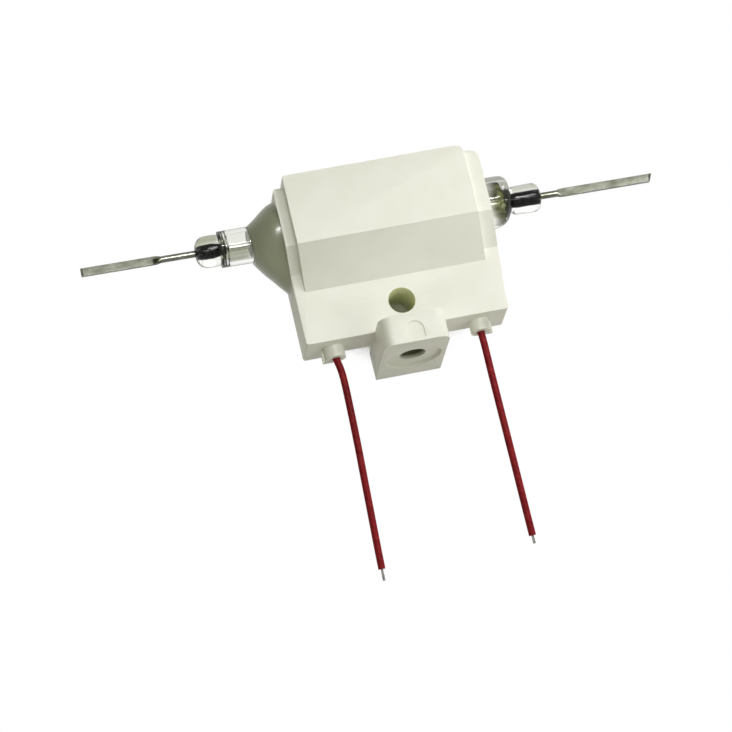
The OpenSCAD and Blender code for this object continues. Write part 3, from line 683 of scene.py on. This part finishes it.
contact, tree, shader = start_finish("contact plating")
shader.inputs["Metallic"].default_value = 1
shader.inputs["Roughness"].default_value = 0.25
mottle(tree, shader, noise(tree, 3000, 3), ((0.3, (0.62, 0.62, 0.6)), (0.7, (0.8, 0.8, 0.79))))
dress(contact, "left_contact", "right_contact")


# Coil and potting: black bobbin, enamelled copper in fine turns, yellow tape, soldered joints,
# and the same dark casting resin round it all, level with the open underside.
black_plastic, tree, shader = start_finish("bobbin plastic")
shader.inputs["Roughness"].default_value = 0.5
mottle(tree, shader, noise(tree, 1500, 3),
       ((0.3, (0.012, 0.012, 0.013)), (0.7, (0.03, 0.03, 0.032))))
dress(black_plastic, "bobbin")

copper, tree, shader = start_finish("enamelled copper")
shader.inputs["Metallic"].default_value = 1
shader.inputs["Roughness"].default_value = 0.35
wound = bands(tree, "X", 3900)
mottle(tree, shader, wound, ((0, (0.35, 0.11, 0.04)), (1, (0.75, 0.32, 0.16))))
emboss(tree, shader, wound, 0.5, 0.00003)
dress(copper, "winding", "left_coil_tail", "right_coil_tail")

tape, tree, shader = start_finish("coil tape")
shader.inputs["Roughness"].default_value = 0.3
mottle(tree, shader, noise(tree, 500, 3, (1, 0.2, 0.2)),
       ((0.3, (0.55, 0.36, 0.06)), (0.7, (0.7, 0.5, 0.12))))
dress(tape, "winding_tape")

solder, tree, shader = start_finish("solder")
shader.inputs["Metallic"].default_value = 1
shader.inputs["Roughness"].default_value = 0.28
mottle(tree, shader, noise(tree, 2500, 3), ((0.3, (0.5, 0.5, 0.5)), (0.7, (0.72, 0.72, 0.7))))
dress(solder, "left_joint", "right_joint")

fill, tree, shader = start_finish("potting resin")
shader.inputs["Roughness"].default_value = 0.22
mottle(tree, shader, noise(tree, 130, 4),
       ((0.3, (0.07, 0.075, 0.05)), (0.7, (0.12, 0.125, 0.085))))
emboss(tree, shader, noise(tree, 350), 0.3, 0.0002)
dress(fill, "potting")


# Studio: a pale floor with painted shade close under the relay, a soft lamp behind at the right,
# weaker ones above and in front, a long one above that shows in reflections only, and a
# plain surround that is white wherever it is seen.
def shown_white(tree, lit, white, output):
    """The white shader to camera, transmission and glossy rays, the lit one to all others."""
    path = add(tree, "ShaderNodeLightPath")
    seen = joined(tree, "MAXIMUM", path.outputs["Is Camera Ray"],
                  path.outputs["Is Transmission Ray"], path.outputs["Is Glossy Ray"])
    choice = add(tree, "ShaderNodeMixShader")
    tree.links.new(seen, choice.inputs["Fac"])
    tree.links.new(lit, choice.inputs[1])
    tree.links.new(white, choice.inputs[2])
    tree.links.new(choice.outputs["Shader"], tree.nodes[output].inputs["Surface"])


def lamp(name, spot, size, power, colour):
    """A rectangular lamp that is aimed at the relay."""
    light = bpy.data.lights.new(name, "AREA")
    light.shape = "RECTANGLE"
    light.size, light.size_y = size
    light.energy = power
    light.color = colour
    holder = bpy.data.objects.new(name, light)
    away = (Vector(spot) - Vector((0, 0.006, 0.004))).normalized()
    across = away.cross(Vector((0, 1, 0))).normalized()
    turned = Matrix((across, away.cross(across), away)).transposed().to_4x4()
    holder.matrix_world = Matrix.Translation(spot) @ turned
    bpy.context.scene.collection.objects.link(holder)
    return holder


shape = bmesh.new()
bmesh.ops.create_grid(shape, x_segments=1, y_segments=1, size=1.5)
bmesh.ops.translate(shape, vec=(0, 0, cad_box[0].z - 0.00002), verts=shape.verts)
floor_mesh = bpy.data.meshes.new("floor")
shape.to_mesh(floor_mesh)
shape.free()
floor = bpy.data.objects.new("floor", floor_mesh)
bpy.context.scene.collection.objects.link(floor)

paper, tree, shader = start_finish("pale floor")
shader.inputs["Base Color"].default_value = (0.5, 0.5, 0.46, 1)
shader.inputs["Roughness"].default_value = 0.9
# Painted shadow: the floor's white darkens with ambient occlusion close under the relay, to olive
# black seen through its hole.
open_sky = add(tree, "ShaderNodeAmbientOcclusion", samples=16)
open_sky.inputs["Distance"].default_value = 0.009
shade = ramp(tree, open_sky.outputs["AO"],
             ((0.1, (0.1, 0.105, 0.06)), (0.17, (0.14, 0.145, 0.085)), (0.21, (0.97, 0.97, 0.96)),
              (0.33, (0.995, 0.995, 0.995)), (0.55, (1, 1, 1))))
glow = add(tree, "ShaderNodeEmission")
tree.links.new(shade, glow.inputs["Color"])
shown_white(tree, shader.outputs["BSDF"], glow.outputs["Emission"], "Material Output")
floor_mesh.materials.append(paper)

lamp("side lamp", (0.58, 0.58, 0.57), (0.35, 0.35), 5.2, (1, 1, 1))
lamp("top lamp", (0.14, 0.03, 0.98), (0.3, 0.2), 1.9, (1, 1, 1))
lamp("glint lamp", (0.15, 0.06, 0.98), (0.4, 0.12), 8, (1, 1, 1)).visible_diffuse = False
lamp("front lamp", (0.6, -0.6, 0.53), (0.35, 0.35), 1.6, (1, 1, 0.97))

surround = bpy.data.worlds.new("surround")
surround.use_nodes = True
bpy.context.scene.world = surround
tree = surround.node_tree
plain = tree.nodes["Background"]
plain.inputs["Color"].default_value = (1, 1.01, 0.8, 1)
plain.inputs["Strength"].default_value = 0.315
white = add(tree, "ShaderNodeBackground")
white.inputs["Strength"].default_value = 1
shown_white(tree, plain.outputs["Background"], white.outputs["Background"], "World Output")

bpy.context.scene.view_settings.view_transform = "Standard"
